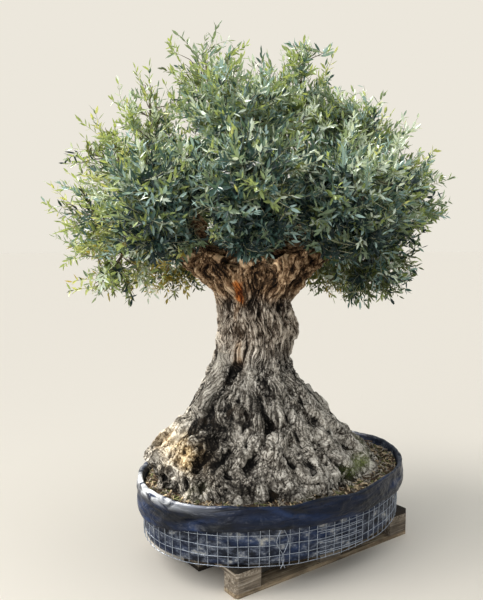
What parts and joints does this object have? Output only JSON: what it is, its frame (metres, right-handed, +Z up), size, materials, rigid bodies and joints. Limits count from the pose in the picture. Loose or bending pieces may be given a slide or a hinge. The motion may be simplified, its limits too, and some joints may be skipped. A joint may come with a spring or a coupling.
{
  "type": "olive tree",
  "caption": "Old olive tree with a wide flared trunk and a domed crown; its root ball is wrapped in plastic sheet and wire mesh and stands on a wooden pallet.",
  "frame": {"origin": "centre of the underside of the pallet's middle skid, on the floor", "axes": "+X along the pallet's long side, +Y along its short side, +Z up; the tree's best side faces the corner between -X and -Y, 36 degrees round from -Y"},
  "size_m": [1.9037, 1.9395, 2.8005],
  "materials": {
    "bark": "deeply furrowed grey-brown bark",
    "foliage": "matt grey-green leaves with paler backs",
    "soil": "crumbly dark soil",
    "liner": "wrinkled glossy sheet",
    "wire": "galvanised",
    "pallet_wood": "rough sawn, weathered"
  },
  "bodies": {
    "root": {"bough_back": "bark", "bough_back_left": "bark", "bough_back_right": "bark", "bough_front": "bark", "bough_front_left": "bark", "bough_front_right": "bark", "bough_left": "bark", "bough_left_upper": "bark", "bough_right": "bark", "bough_right_upper": "bark", "leader_left": "bark", "leader_right": "bark", "liner": "liner", "mass_back": "foliage", "mass_back_left": "foliage", "mass_back_left_lower": "foliage", "mass_back_right": "foliage", "mass_back_right_lower": "foliage", "mass_crown_back": "foliage", "mass_crown_front": "foliage", "mass_front": "foliage", "mass_front_left": "foliage", "mass_front_right": "foliage", "mass_left": "foliage", "mass_left_lower": "foliage", "mass_left_upper": "foliage", "mass_right": "foliage", "mass_right_lower": "foliage", "mass_right_upper": "foliage", "mass_sprig": "foliage", "mass_top_left": "foliage", "mass_top_right": "foliage", "mass_upper_left": "foliage", "pallet_block_back_centre": "pallet_wood", "pallet_block_back_left": "pallet_wood", "pallet_block_back_right": "pallet_wood", "pallet_block_front_centre": "pallet_wood", "pallet_block_front_left": "pallet_wood", "pallet_block_front_right": "pallet_wood", "pallet_block_middle_centre": "pallet_wood", "pallet_block_middle_left": "pallet_wood", "pallet_block_middle_right": "pallet_wood", "pallet_deck_1": "pallet_wood", "pallet_deck_2": "pallet_wood", "pallet_deck_3": "pallet_wood", "pallet_deck_4": "pallet_wood", "pallet_deck_5": "pallet_wood", "pallet_skid_back": "pallet_wood", "pallet_skid_front": "pallet_wood", "pallet_skid_middle": "pallet_wood", "pallet_stringer_centre": "pallet_wood", "pallet_stringer_left": "pallet_wood", "pallet_stringer_right": "pallet_wood", "root_ball_soil": "soil", "trunk": "bark", "wire_basket": "wire"}
  },
  "joints": []
}
